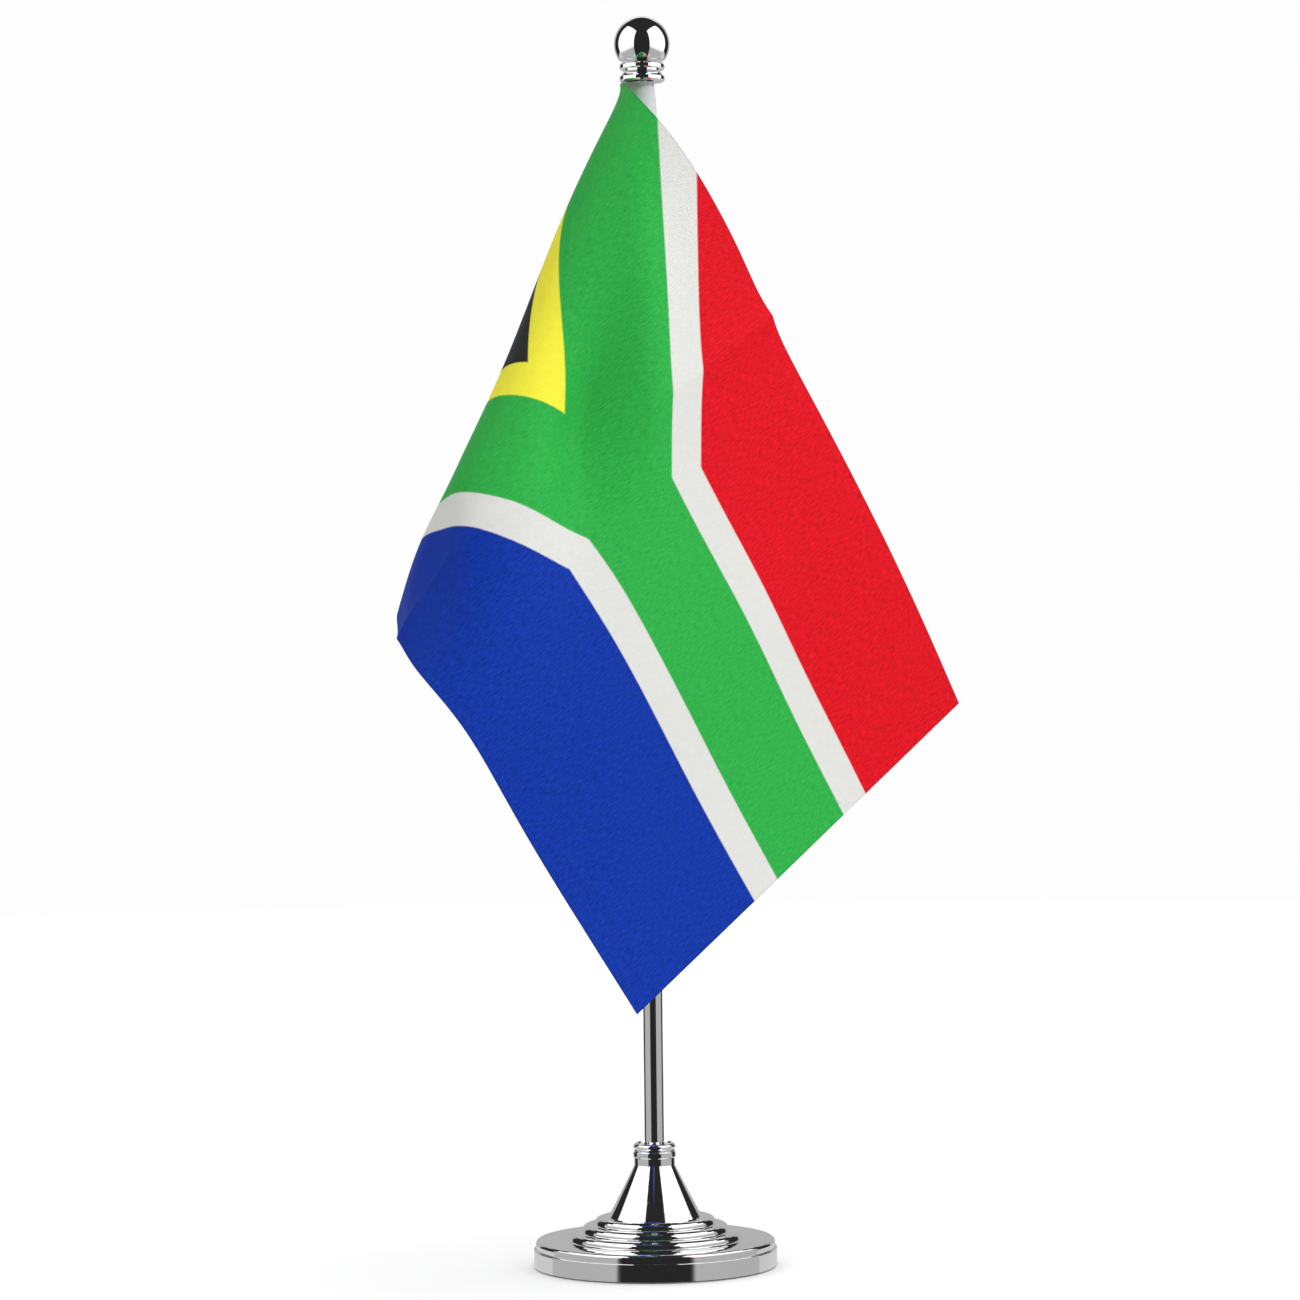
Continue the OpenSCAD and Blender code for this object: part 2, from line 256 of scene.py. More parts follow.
def printed_cloth(name, fade=0.0):
    """Satin polyester with the print. fade pales the colours, as on the cloth's back."""
    made, g = material(name)
    flat = g.node("ShaderNodeUVMap", uv_map="flat").outputs[0]
    in_mm = g.scaled(flat, (FLAG_LENGTH, FLAG_DROP, 1))
    bleed = g.noise(in_mm, 3.0, 3, 0.7)
    split = g.node("ShaderNodeSeparateXYZ", {"Vector": flat})
    wobble = g.math("MULTIPLY", g.math("SUBTRACT", bleed, 0.5), 0.16)
    u = g.math("ADD", g.math("MULTIPLY", split.outputs[0], PRINT_WIDTH), wobble)
    v = g.math("ADD", g.math("MULTIPLY_ADD", split.outputs[1], PRINT_HEIGHT - PRINT_CUT, PRINT_CUT), wobble)
    across = g.math("SUBTRACT", v, PRINT_HEIGHT / 2)
    off_middle = g.math("ABSOLUTE", across)
    slant = g.math("MULTIPLY", g.math("ADD", off_middle, g.math("MULTIPLY_ADD", u, 1 / SLOPE, -HOIST_APEX)),
                   SLOPE / math.hypot(SLOPE, 1))
    band = g.math("MINIMUM", slant, off_middle)
    soft = 0.09

    def past(value, edge):
        return g.between(value, edge - soft, edge + soft)

    field = g.blend(past(across, 0.0), RED, BLUE)
    colour = g.blend(past(band, BAND_INNER), GREEN, WHITE)
    colour = g.blend(past(band, BAND_OUTER), colour, field)
    colour = g.blend(past(slant, -BAND_INNER), YELLOW, colour)
    colour = g.blend(past(slant, -BAND_OUTER), BLACK, colour)

    # satin weave: fine threads both ways, lighter and darker strokes parallel to the hoist, and faint slubs
    # across them
    warp = g.node("ShaderNodeTexWave", {"Vector": in_mm, "Scale": 0.90, "Distortion": 0.5, "Detail": 1.0,
                                        "Detail Scale": 2.0}, bands_direction="X").outputs["Fac"]
    weft = g.node("ShaderNodeTexWave", {"Vector": in_mm, "Scale": 1.15, "Distortion": 0.5, "Detail": 1.0,
                                        "Detail Scale": 2.0}, bands_direction="Y").outputs["Fac"]
    strokes = g.noise(g.scaled(in_mm, (2.3, 0.5, 1)), 1.0, 2, 0.55)
    slubs = g.noise(g.scaled(in_mm, (0.5, 1.6, 1)), 1.0, 2, 0.5)
    tone = g.math("ADD", g.between(strokes, 0.32, 0.68, -0.27, 0.27), g.between(slubs, 0.3, 0.7, -0.05, 0.05))
    inked = g.between(g.node("ShaderNodeRGBToBW", {"Color": colour}).outputs[0], 0.06, 0.5, 1.0, 0.12)
    woven = g.node("ShaderNodeHueSaturation", {"Color": colour, "Saturation": 1.0,
                                               "Value": g.math("MULTIPLY_ADD", tone, inked, 1.0)}).outputs[0]
    worn = g.blend(fade, woven, (0.86, 0.86, 0.86, 1))

    # heat-cut edges: a hairline of melted, darker thread
    edge = g.math("MINIMUM",
                  g.math("MULTIPLY", g.math("SUBTRACT", 1.0, split.outputs[0]), FLAG_LENGTH),
                  g.math("MINIMUM", g.math("MULTIPLY", split.outputs[1], FLAG_DROP),
                         g.math("MULTIPLY", g.math("SUBTRACT", 1.0, split.outputs[1]), FLAG_DROP)))
    sealed = g.between(g.math("ADD", edge, g.math("MULTIPLY", wobble, 1.2)), 0.12, 0.42, 1.0, 0.0)
    dark = g.node("ShaderNodeHueSaturation", {"Color": worn, "Saturation": 1.05, "Value": 0.72}).outputs[0]
    final = g.blend(g.math("MULTIPLY", sealed, 0.7), worn, dark)

    height = g.math("ADD", g.math("MULTIPLY", warp, weft),
                    g.math("MULTIPLY", strokes, g.math("MULTIPLY", inked, 1.6)))
    g.principled(Base_Color=final, Roughness=g.between(strokes, 0.3, 0.7, 0.40, 0.52),
                 Specular_IOR_Level=0.06, Normal=g.bump(height, 0.5, 0.00015))
    return made


def plain_cloth(name, colour):
    """White polyester of the pocket, woven like the flag."""
    made, g = material(name)
    where = g.node("ShaderNodeTexCoord").outputs["Object"]
    in_mm = g.scaled(where, (1000, 1000, 1000))
    warp = g.node("ShaderNodeTexWave", {"Vector": in_mm, "Scale": 0.90, "Distortion": 1.0},
                  bands_direction="Z").outputs["Fac"]
    slub = g.noise(g.scaled(where, (500, 500, 2600)), 1.0, 3, 0.6)
    shade = g.noise(where, 90, 3, 0.5)
    dim = tuple(0.86 * c for c in colour)
    g.principled(Base_Color=g.blend(g.between(shade, 0.35, 0.7), (*colour, 1), (*dim, 1)),
                 Roughness=g.between(slub, 0.3, 0.7, 0.6, 0.75), Specular_IOR_Level=0.3,
                 Sheen_Weight=0.2, Sheen_Roughness=0.5,
                 Normal=g.bump(g.math("ADD", warp, slub), 0.4, 0.00012))
    return made


def thread_material(name):
    """Twisted white polyester thread."""
    made, g = material(name)
    where = g.node("ShaderNodeTexCoord").outputs["Object"]
    twist = g.node("ShaderNodeTexWave", {"Vector": g.scaled(where, (1000, 1000, 1000), (0.6, 0.3, 0)),
                                         "Scale": 1.6, "Distortion": 0.6}).outputs["Fac"]
    g.principled(Base_Color=g.blend(twist, (0.62, 0.62, 0.62, 1), (0.88, 0.88, 0.87, 1)), Roughness=0.55,
                 Sheen_Weight=0.25, Normal=g.bump(twist, 0.6, 0.0001))
    return made


chrome = chrome_material("chrome")
chrome_fine = chrome_material("chrome_finial", 0.5)
steel = steel_material("steel")
iron = iron_material("iron")
pad = pad_material("pad")
cloth_front = printed_cloth("cloth_front")
cloth_back = printed_cloth("cloth_back", 0.06)
pocket_cloth = plain_cloth("pocket_cloth", (0.68, 0.695, 0.72))
thread = thread_material("thread")

for node_name, look in {
    "base_shell": chrome, "neck_bell": chrome, "neck_collar": chrome, "pole_tube": chrome,
    "finial_collar": chrome_fine, "finial_ball": chrome_fine,
    "base_weight": iron, "base_plate": steel, "base_screw": steel, "base_washer": steel,
    "pole_foot": steel, "pole_tip": steel, "finial_stud": steel, "base_pad": pad,
    "flag_cloth": cloth_front, "flag_sleeve": pocket_cloth, "sleeve_top": pocket_cloth,
    "sleeve_stitching": thread,
}.items():
    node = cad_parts[node_name]
    node.data.materials.clear()
    node.data.materials.append(look)

# ---------------------------------------------------------------- flag

# The drape's stations as in the CAD model: evenly spaced from the seam to the free edge, each with the
# top edge, the middle and the bottom edge, in millimetres from the flag's top corner at the seam.
SEAM_X = 5.5
CORNER_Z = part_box("flag_sleeve")[1].z / MM - 0.3
DRAPE = np.array([
    [[0, 0, 0], [0, 0, -67.25], [0, 0, -134.5]],
    [[5, -29, -8], [-22, -19, -68], [-27, -12, -134]],
    [[23, -30, -37], [-24, -45, -76], [-52, -28, -134]],
    [[37, -20, -60], [-12, -57, -96], [-51, -58, -141]],
    [[50, -12, -84], [5, -49, -120], [-43, -80, -156]],
    [[62, -4, -110], [18, -41, -146], [-26, -72, -182]],
    [[74, 6, -134], [31, -30, -170], [-14, -66, -208]],
    [[86, 18, -160], [44, -20, -196], [2, -58, -234]],
], float)


def spline_weights(knots, samples):
    """Rows of weights that carry values at even knots to a natural cubic spline through them."""
    n = knots
    system = np.zeros((n, n))
    right = np.zeros((n, n))
    system[0, 0] = system[-1, -1] = 1
    for i in range(1, n - 1):
        system[i, i - 1:i + 2] = (1, 4, 1)
        right[i, i - 1:i + 2] = (6, -12, 6)
    bends = np.linalg.solve(system, right)
    x = np.asarray(samples) * (n - 1)
    i = np.minimum(x.astype(int), n - 2)
    f = x - i
    weights = np.zeros((len(x), n))
    rows = np.arange(len(x))
    weights[rows, i] += 1 - f
    weights[rows, i + 1] += f
    for side, share in ((i, ((1 - f) ** 3 - (1 - f)) / 6), (i + 1, (f ** 3 - f) / 6)):
        weights += share[:, None] * bends[side]
    return weights


def grid_of(stations, along, down):
    """Cloth grid in millimetres, from the stations."""
    s = np.linspace(0, 1, down + 1)
    across = np.stack([(1 - s) * (1 - 2 * s), 4 * s * (1 - s), s * (2 * s - 1)], 1)
    weights = spline_weights(len(stations), np.linspace(0, 1, along + 1))
    return np.einsum("ui,ijk,vj->uvk", weights, stations, across) + np.array([-SEAM_X, 0, CORNER_Z])


def relax(grid, rounds, hold, stiffness):
    """Cloth solver: the grid takes back its flat lengths, while it is drawn weakly to where it was."""
    aim, x = grid.copy(), grid.copy()
    nu, nv = x.shape[:2]
    du, dv = FLAG_LENGTH / (nu - 1), FLAG_DROP / (nv - 1)
    links = [(1, 0, du), (0, 1, dv), (1, 1, math.hypot(du, dv)), (1, -1, math.hypot(du, dv))]
    free = np.ones((nu, nv, 1))
    free[0] = 0
    for k in range(rounds):
        x += (aim - x) * hold * (1 - k / rounds) * free
        curl = np.zeros_like(x)
        curl[1:-1] += 0.5 * (x[:-2] + x[2:]) - x[1:-1]
        curl[:, 1:-1] += 0.5 * (x[:, :-2] + x[:, 2:]) - x[:, 1:-1]
        change = np.zeros_like(x)
        change[1:-1] += 0.5 * (curl[:-2] + curl[2:]) - curl[1:-1]
        change[:, 1:-1] += 0.5 * (curl[:, :-2] + curl[:, 2:]) - curl[:, 1:-1]
        x -= 0.25 * stiffness * change * free
        for _ in range(3):
            push, count = np.zeros_like(x), np.zeros((nu, nv, 1))
            for i, j, rest in links:
                a = (slice(0, nu - i), slice(max(-j, 0), nv - max(j, 0)))
                b = (slice(i, nu), slice(max(j, 0), nv - max(-j, 0)))
                gap = x[b] - x[a]
                length = np.linalg.norm(gap, axis=-1, keepdims=True)
                step = (length - rest) * gap / length / np.maximum(free[a] + free[b], 1)
                push[a] += step * free[a]
                push[b] -= step * free[b]
                count[a] += free[a]
                count[b] += free[b]
            x += 1.3 * push / np.maximum(count, 1) * free
    return x


def normals_of(grid):
    du = np.gradient(grid, axis=0)
    dv = np.gradient(grid, axis=1)
    n = np.cross(du, dv)
    return n / np.linalg.norm(n, axis=-1, keepdims=True)


CLOTH_T = 0.26
COARSE_U, COARSE_V = 42, 27                        # cells of the solver's grid
FINE_U, FINE_V = 252, 162                          # cells of the cloth's own grid
ROUNDS = 400
HOLD = 0.03                                        # how much of the way back to the drape, in the first round
STIFFNESS = 0.3                                    # against bending
coarse = relax(grid_of(DRAPE, COARSE_U, COARSE_V), ROUNDS, HOLD, STIFFNESS)
fine = np.einsum("ui,ijk,vj->uvk", spline_weights(COARSE_U + 1, np.linspace(0, 1, FINE_U + 1)), coarse,
                 spline_weights(COARSE_V + 1, np.linspace(0, 1, FINE_V + 1)))

# Soft folds: middle along and down the flat cloth, turn in degrees, half length, half width, height.
FOLDS = [(85, 61, 44, 27, 10.5, -9), (76, 92, 48, 20, 9, 1.4), (90, 116, 33, 20, 8, -2.2),
         (72, 32, 33, 34, 5.5, 1.7), (120, 70, 50, 30, 12, 0.5), (150, 30, 25, 40, 11, -1),
         (165, 105, 30, 40, 12, 0.6)]
CREASE_U, CREASE_H, CREASE_W = 92, 1.9, 7          # the crease left by packing, parallel to the hoist
HOIST_STIFF = 12                                   # no folds at the seam, full folds from here on
TIP_U, TIP_V, TIP_REACH = 80, 118, 24              # the outside of the fold, low on the left
TIP_PULL = np.array([-2.0, 0, 3.2])


def relief(u, v):
    """Height of the folds over the smooth drape, in millimetres, towards the print's face."""
    height = CREASE_H * np.exp(-np.abs(u - CREASE_U) / CREASE_W) * (0.75 + 0.25 * np.cos(v / 19))
    for u0, v0, turn, half_length, half_width, rise in FOLDS:
        c, s = math.cos(math.radians(turn)), math.sin(math.radians(turn))
        along = ((u - u0) * c + (v - v0) * s) / half_length
        aside = ((v - v0) * c - (u - u0) * s) / half_width
        height = height + rise * np.exp(-along ** 2 - aside ** 2)
    hoist = np.clip(u / HOIST_STIFF, 0, 1)
    return height * hoist * hoist * (3 - 2 * hoist)


flat_u, flat_v = np.meshgrid(np.linspace(0, FLAG_LENGTH, FINE_U + 1), np.linspace(0, FLAG_DROP, FINE_V + 1),
                             indexing="ij")
tip = np.exp(-((flat_u - TIP_U) ** 2 + (flat_v - TIP_V) ** 2) / TIP_REACH ** 2)
fine += tip[..., None] * TIP_PULL - normals_of(fine) * relief(flat_u, flat_v)[..., None]


def cloth_solid(name, grid, thickness, materials):
    """Closed thin sheet on a grid, with the flat place of each point as its UV."""
    nu, nv = grid.shape[:2]
    n = normals_of(grid)
    points = np.concatenate([(grid + n * thickness / 2).reshape(-1, 3),
                             (grid - n * thickness / 2).reshape(-1, 3)])
    index = np.arange(nu * nv).reshape(nu, nv)
    a, b = index[:-1, :-1].ravel(), index[1:, :-1].ravel()
    c, d = index[1:, 1:].ravel(), index[:-1, 1:].ravel()
    back = nu * nv
    faces = [np.stack([a, b, c, d], 1), np.stack([a, d, c, b], 1) + back]
    rim = np.concatenate([index[:-1, 0], index[-1, :-1], index[:0:-1, -1], index[0, :0:-1]])
    after = np.roll(rim, -1)
    faces.append(np.stack([rim, rim + back, after + back, after], 1))
    which = np.concatenate([np.full(len(f), k) for f, k in zip(faces, (0, 1, 0))])
    u, v = np.meshgrid(np.linspace(0, 1, nu), np.linspace(0, 1, nv), indexing="ij")
    uv = np.stack([u, v], -1).reshape(-1, 2)
    return add_mesh(name, points * MM, np.concatenate(faces), materials, 60, np.concatenate([uv, uv]), which)


flag = cloth_solid("flag_print", fine, CLOTH_T, [cloth_back, cloth_front])
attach(flag, "flag")
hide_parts("flag_cloth")

# ---------------------------------------------------------------- pocket round the pole

POCKET_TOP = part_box("flag_sleeve")[1].z / MM
POCKET_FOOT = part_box("flag_sleeve")[0].z / MM
SEAM_HALF = 0.30                                  # half the thickness of the sewn seam
CLOTH_POCKET_T = 0.25


def pocket_radius(z):
    """Radius of the pocket's round part: drawn in under the finial, full below it, with a few slack rolls."""
    down = POCKET_TOP - z
    drawn_in = np.interp(down, [0, 1, 4, 8, 18, 40], [2.95, 3.05, 3.42, 3.62, 3.55, 3.36])
    return drawn_in + 0.05 * np.sin(z * 0.34) * np.clip(down / 30, 0, 1) + 0.03 * np.sin(z * 0.83 + 1.0)


def drop_outline(radius, reach, end_half, count):
    """Drop-shaped section: a circle drawn out by its two tangents to the seam at x = -reach."""
    lean = math.acos(radius / reach)
    turn = np.linspace(lean - math.pi, math.pi - lean, 120)
    path = np.concatenate([[(-reach, -end_half)], np.stack([np.cos(turn), np.sin(turn)], 1) * radius,
                           [(-reach, end_half)]])
    run = np.concatenate([[0], np.cumsum(np.linalg.norm(np.diff(path, axis=0), axis=1))])
    even = np.linspace(0, run[-1], count)
    return np.stack([np.interp(even, run, path[:, 0]), np.interp(even, run, path[:, 1])], 1)


def pocket_tube():
    """The cloth pocket: an outer and an inner skin, joined at both ends."""
    around, rings = 97, 240
    heights = np.linspace(POCKET_FOOT, POCKET_TOP, rings)
    skins = []
    for inner in (False, True):
        skin = np.zeros((rings, around, 3))
        for i, z in enumerate(heights):
            r = pocket_radius(z)
            if inner:
                line = drop_outline(r - CLOTH_POCKET_T, SEAM_X - 1.1, 0.03, around)
            else:
                line = drop_outline(r, SEAM_X, SEAM_HALF, around)
                s = np.linspace(0, 1, around)
                rolls = 0.05 * np.sin(s * 9 + z * 0.21) * np.sin(z * 0.11 + s * 4) * np.sin(math.pi * s)
                line = line * (1 + rolls / r)[:, None]
            skin[i, :, :2] = line
            skin[i, :, 2] = z
        skins.append(skin.reshape(-1, 3))
    index = np.arange(rings * around).reshape(rings, around)
    nxt = np.roll(index, -1, axis=1)
    quads = np.stack([index[:-1], nxt[:-1], nxt[1:], index[1:]], -1).reshape(-1, 4)
    inside = rings * around
    ends = [np.stack([index[0], index[0] + inside, nxt[0] + inside, nxt[0]], 1),
            np.stack([index[-1], nxt[-1], nxt[-1] + inside, index[-1] + inside], 1)]
    faces = np.concatenate([quads, quads[:, ::-1] + inside] + ends)
    return add_mesh("flag_pocket", np.concatenate(skins) * MM, faces, [pocket_cloth], 50)


pocket = pocket_tube()
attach(pocket, "flag")
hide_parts("flag_sleeve")

hem_low, hem_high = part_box("sleeve_top")
EYELET_R, HEM_R = 2.08, 2.86
hem_z, hem_half = (hem_low.z + hem_high.z) / 2 / MM, (hem_high.z - hem_low.z) / 2 / MM
hem_round = 0.9 * hem_half
turn = np.linspace(-math.pi / 2, math.pi / 2, 9)
outside = [(HEM_R - hem_round + hem_round * math.cos(a), hem_z + hem_half * math.sin(a)) for a in turn]
inside = [(EYELET_R + hem_round - hem_round * math.cos(a), hem_z + hem_half * math.sin(a))
          for a in turn[::-1]]
hem = lathe("pocket_hem", outside + inside, [pocket_cloth], 128)
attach(hem, "flag")
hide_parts("sleeve_top")


def seam_stitches():
    """Both faces' rows of thread: each stitch comes up out of the cloth, lies on it and dives again."""
    low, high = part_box("sleeve_stitching")
    length, pitch, thread_r = 2.2, 3.1, 0.17
    x = (low.x + high.x) / 2 / MM
    line = drop_outline(pocket_radius((low.z + high.z) / 2 / MM), SEAM_X, SEAM_HALF, 97)
    lie = np.interp(x, line[:12, 0], -line[:12, 1])
    points, faces = [], []
    steps, sides = 10, 8
    top = high.z / MM
    for row in (-1, 1):
        for k in range(int(round((top - low.z / MM + pitch - length) / pitch))):
            first = len(points)
            for i in range(steps + 1):
                t = i / steps
                rise = math.sin(math.pi * t) ** 0.5
                r = thread_r * (0.55 + 0.45 * rise)
                centre = np.array([x + 0.06 * (2 * t - 1) * row, row * (lie - 0.16 + 0.2 * rise),
                                   top - k * pitch - t * length])
                for m in range(sides):
                    a = TAU * m / sides
                    points.append(centre + np.array([r * math.cos(a), r * math.sin(a), 0]))
            for i in range(steps):
                for m in range(sides):
                    a, b = first + i * sides + m, first + i * sides + (m + 1) % sides
                    faces.append((a, a + sides, b + sides, b))
            faces.append(tuple(first + m for m in range(sides)))
            faces.append(tuple(first + steps * sides + m for m in range(sides))[::-1])
    return add_mesh("pocket_stitches", np.array(points) * MM, faces, [thread], 60)


stitches = seam_stitches()
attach(stitches, "flag")
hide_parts("sleeve_stitching")

# ---------------------------------------------------------------- threads and foot pad

def threaded(name, outline, zone, pitch, depth, body, node):
    """Turned steel piece from an outline of (radius, height), with a screw thread cut into it between
    zone's heights."""
    around = 64
    outline = np.array(outline, float)
    heights, radii = [], []
    for (r0, z0), (r1, z1) in zip(outline[:-1], outline[1:]):
        count = max(int(math.ceil(abs(z1 - z0) / (pitch / 8))), 1)
        for i in range(count):
            heights.append(z0 + (z1 - z0) * i / count)
            radii.append(r0 + (r1 - r0) * i / count)
    heights.append(outline[-1, 1])
    radii.append(outline[-1, 0])
    heights, radii = np.array(heights)[:, None], np.array(radii)[:, None]
    turn = (np.arange(around) * TAU / around)[None]
    phase = (heights / pitch - turn / TAU) % 1
    fade = np.clip((heights - zone[0]) / pitch, 0, 1) * np.clip((zone[1] - heights) / pitch, 0, 1)
    cut = depth * fade * np.clip(1.25 - 2.5 * np.abs(phase - 0.5), 0, 1)
    r = np.maximum(radii - cut, 0.02)
    points = np.stack([r * np.cos(turn), r * np.sin(turn), np.broadcast_to(heights, r.shape)], -1)
    n = len(heights)
    index = np.arange(n * around).reshape(n, around)
    nxt = np.roll(index, -1, axis=1)
    faces = [tuple(f) for f in np.stack([index[:-1], nxt[:-1], nxt[1:], index[1:]], -1).reshape(-1, 4)]
    faces.append(tuple(index[0][::-1]))
    faces.append(tuple(index[-1]))
    piece = add_mesh(name, points.reshape(-1, 3) * MM, faces, [steel], 35)
    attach(piece, body)
    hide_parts(node)


foot_low, foot_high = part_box("pole_foot")
foot_z, foot_top, plug_r = foot_low.z / MM, foot_high.z / MM, foot_high.x / MM
tube_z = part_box("pole_tube")[0].z / MM
FOOT_R = 1.92
foot_outline = [(FOOT_R - 0.35, foot_z), (FOOT_R, foot_z + 0.4), (FOOT_R, tube_z), (plug_r, tube_z),
                (plug_r, foot_top)]
threaded("pole_foot_thread", foot_outline, (foot_z - 0.3, tube_z - 0.3), 0.7, 0.22, "pole", "pole_foot")
stud_low, stud_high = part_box("finial_stud")
stud_z, stud_top, stud_r = stud_low.z / MM, stud_high.z / MM, stud_high.x / MM
tube_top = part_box("pole_tube")[1].z / MM
stud_outline = [(stud_r - 0.3, stud_z), (stud_r, stud_z + 0.35), (stud_r, stud_top - 0.3),
                (stud_r - 0.3, stud_top)]
threaded("finial_stud_thread", stud_outline, (stud_z - 0.3, tube_top), 0.5, 0.16, "finial", "finial_stud")

pad_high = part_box("base_pad")[1]
pad_r, pad_t = pad_high.x / MM, pad_high.z / MM
turn = np.linspace(-math.pi / 2, math.pi / 2, 13)
foam = lathe("base_foam", [(0.01, 0.06), (pad_r * 0.5, 0.03), (pad_r - 2, 0)]
             + [(pad_r - 0.45 + 0.45 * math.cos(a), pad_t / 2 + pad_t / 2 * math.sin(a)) for a in turn]
             + [(0.01, pad_t)], [pad], 192, 60)
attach(foam, "base")
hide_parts("base_pad")

# ---------------------------------------------------------------- stage

floor_material, g = material("floor")
speck = g.noise(g.node("ShaderNodeTexCoord").outputs["Object"], 40, 3, 0.6)
g.principled(Base_Color=g.blend(speck, (0.955, 0.955, 0.955, 1), (0.975, 0.975, 0.975, 1)), Roughness=0.9,
             Specular_IOR_Level=0.0)

backdrop_material, g = material("backdrop")
g.principled(Base_Color=(0, 0, 0, 1), Roughness=0.9, Specular_IOR_Level=0.0, Emission_Color=(1, 1, 1, 1),
             Emission_Strength=0.99)

# A flat disc under the object that runs up into a white bowl all round, so that no horizon shows.
FLOOR_R, BOWL_R, BOWL_H = 1500, 900, 2600
rise = np.linspace(0, math.pi / 2, 25)
floor = lathe("floor", [(0.01, 0), (FLOOR_R, 0)], [floor_material], 128, None, False)
bowl = lathe("backdrop", [(FLOOR_R + BOWL_R * math.sin(a), BOWL_R * (1 - math.cos(a))) for a in rise]
             + [(FLOOR_R + BOWL_R, BOWL_H)], [backdrop_material], 128, None, False)
floor.visible_glossy = False
bowl.visible_glossy = bowl.visible_diffuse = bowl.visible_shadow = False

# Soft light from overhead, dim towards the horizon and a little stronger from the right. Below the horizon
# it is even.
world = bpy.data.worlds.new("studio")
world.use_nodes = True
bpy.context.scene.world = world
g = Graph(world.node_tree)
way = g.node("ShaderNodeSeparateXYZ", {"Vector": g.node("ShaderNodeTexCoord").outputs["Generated"]})
overhead = g.between(way.outputs["Z"], 0.3, 1, 0.02, 1.98)
aside = g.between(way.outputs["X"], -1, 1, 0.0, 0.16)
below = g.between(way.outputs["Z"], -0.01, 0, 0.5, 0)
soft_sky = g.node("ShaderNodeBackground", {"Color": (1, 1, 1, 1),
                                           "Strength": g.math("ADD", g.math("ADD", overhead, aside), below)})
g.tree.links.new(soft_sky.outputs[0], g.node("ShaderNodeOutputWorld").inputs[0])


def surround():
    """What the chrome mirrors round the soft lights: a dark room, a grey backdrop and a pale table.
    Only mirror-like reflections see it."""
    made, g = material("surround")
    split = g.node("ShaderNodeSeparateXYZ", {"Vector": g.node("ShaderNodeTexCoord").outputs["Object"]})
    x, y, z = split.outputs
    from_front = g.math("ARCTAN2", x, g.math("MULTIPLY", y, -1.0))
    turn = g.math("MULTIPLY", g.math("ABSOLUTE", from_front), 360 / TAU)
    flat_distance = g.math("SQRT", g.math("ADD", g.math("MULTIPLY", x, x), g.math("MULTIPLY", y, y)))
    rise = g.math("MULTIPLY", g.math("ARCTAN2", z, flat_distance), 360 / TAU)

    def window(value, a, b, c, d):
        """1 from b to c, 0 outside a to d, all in degrees."""
        return g.math("MULTIPLY", g.between(value, a, b, smooth=True),
                      g.between(value, c, d, 1.0, 0.0, smooth=True))

    backdrop = g.math("MULTIPLY", g.between(turn, 142, 148, smooth=True), window(rise, -10.5, -8.5, 25, 45))
    table = g.math("MULTIPLY", g.between(turn, 32, 44, smooth=True),
                   g.between(rise, -10.8, -9.8, 1.0, 0.0, smooth=True))
    level = g.math("ADD", g.math("MULTIPLY", table, 0.62), g.math("MULTIPLY", backdrop, 0.45))
    sky = g.math("MULTIPLY", g.between(turn, 150, 160, smooth=True), window(rise, 28, 33, 42, 47))
    level = g.math("ADD", g.math("MULTIPLY_ADD", sky, 0.8, 0.022), level)
    glow = g.node("ShaderNodeEmission", {"Color": g.node("ShaderNodeCombineColor", {
        "Red": level, "Green": level, "Blue": level}).outputs[0], "Strength": 1.0})
    g.finish(glow)
    rings, around, radius = 48, 96, 3.0
    points, faces = [], []
    for i in range(rings + 1):
        tilt = math.pi * i / rings
        for k in range(around):
            a = TAU * k / around
            points.append((radius * math.sin(tilt) * math.cos(a), radius * math.sin(tilt) * math.sin(a),
                           radius * math.cos(tilt)))
    for i in range(rings):
        for k in range(around):
            m = (k + 1) % around
            faces.append((i * around + k, i * around + m, (i + 1) * around + m, (i + 1) * around + k))
    dome = add_mesh("surround", points, faces, [made], None)
    dome.location = (0, 0, 0.15)
    dome.visible_camera = dome.visible_diffuse = dome.visible_shadow = dome.visible_transmission = False


surround()


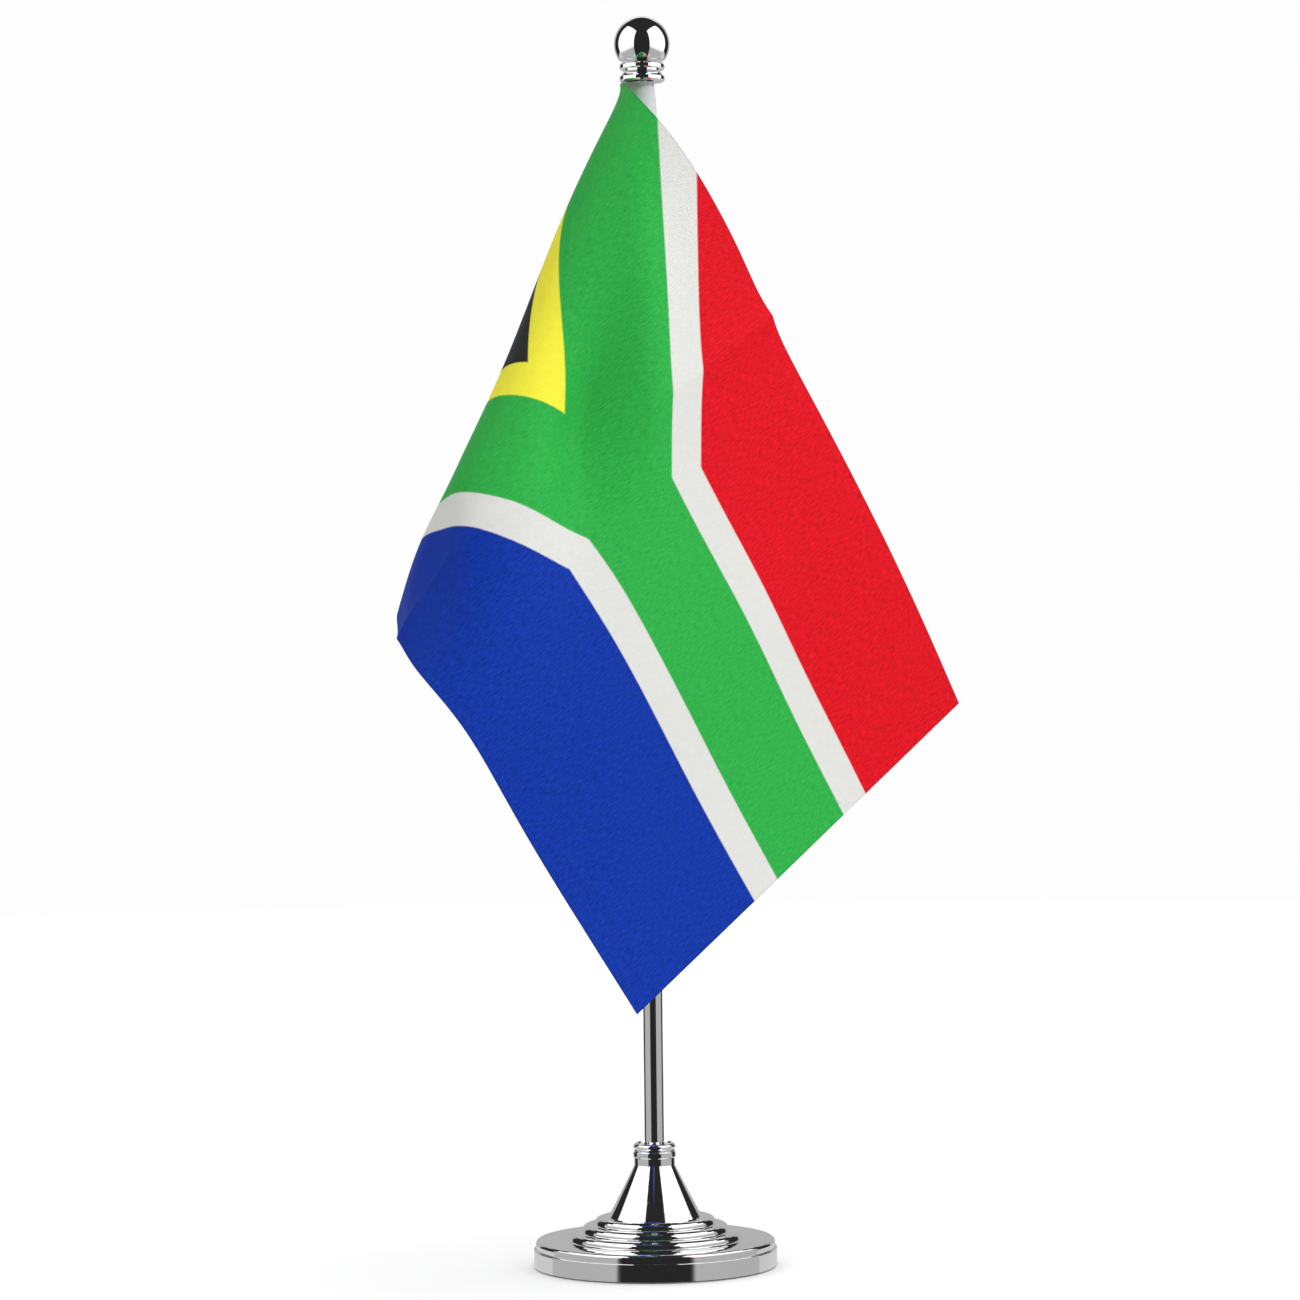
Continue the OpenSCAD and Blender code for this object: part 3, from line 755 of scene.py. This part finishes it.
def softbox(name, turn, distance, width, lean, low, high, level, dim):
    """Upright soft light that only mirror-like reflections see. Its lower part has only dim of its level."""
    made, g = material(name)
    place = g.node("ShaderNodeSeparateXYZ", {"Vector": g.node("ShaderNodeTexCoord").outputs["UV"]})

    def fall(value, reach):
        from_edge = g.math("MINIMUM", value, g.math("SUBTRACT", 1.0, value))
        return g.between(from_edge, 0.0, reach, 0.0, 1.0, smooth=True)

    glow = g.math("MULTIPLY", fall(place.outputs[0], 0.06), fall(place.outputs[1], 0.05))
    lower = g.between(place.outputs[1], 0.26, 0.37, dim * level, level, smooth=True)
    shine = g.node("ShaderNodeEmission", {"Color": (1, 1, 1, 1), "Strength": lower})
    clear = g.node("ShaderNodeBsdfTransparent")
    mix = g.node("ShaderNodeMixShader", {0: glow, 1: clear.outputs[0], 2: shine.outputs[0]})
    g.finish(mix)
    a = math.radians(turn)
    out_way = np.array((math.sin(a), -math.cos(a), 0))
    side = np.array((math.cos(a), math.sin(a), 0)) * width / 2
    corners = [out_way * distance + side * x + np.array((0, 0, z))
               for x, z in ((-1, low), (1, low), (1 + max(-lean, 0), high), (-1 - max(lean, 0), high))]
    panel = add_mesh(name, corners, [(0, 1, 2, 3)], [made], None, [(0, 0), (1, 0), (1, 1), (0, 1)])
    panel.visible_camera = panel.visible_diffuse = panel.visible_shadow = panel.visible_transmission = False


for side_name, side_turn, side_lean in (("left", -75, -0.35), ("right", 75, 0.35)):
    softbox("softbox_" + side_name, side_turn, distance=0.44, width=0.72, lean=side_lean, low=-0.25,
            high=1.05, level=1.4, dim=0.34)


def area_light(name, place, aim, size, power):
    data = bpy.data.lights.new(name, "AREA")
    data.shape, data.size, data.energy = "SQUARE", size, power
    obj = bpy.data.objects.new(name, data)
    bpy.context.scene.collection.objects.link(obj)
    obj.location = place
    obj.rotation_mode = "QUATERNION"
    obj.rotation_quaternion = (Vector(aim) - Vector(place)).to_track_quat("-Z", "Y")
    return obj


# The key light reaches the cloth only: the chrome has its own soft boxes to mirror.
key = area_light("key", place=(1.25, -0.8, 1.15), aim=(0, 0, 0.2), size=0.4, power=14.0)
lit = bpy.data.collections.new("lit_by_key")
for piece in (flag, pocket, hem, stitches):
    lit.objects.link(piece)
key.light_linking.receiver_collection = lit
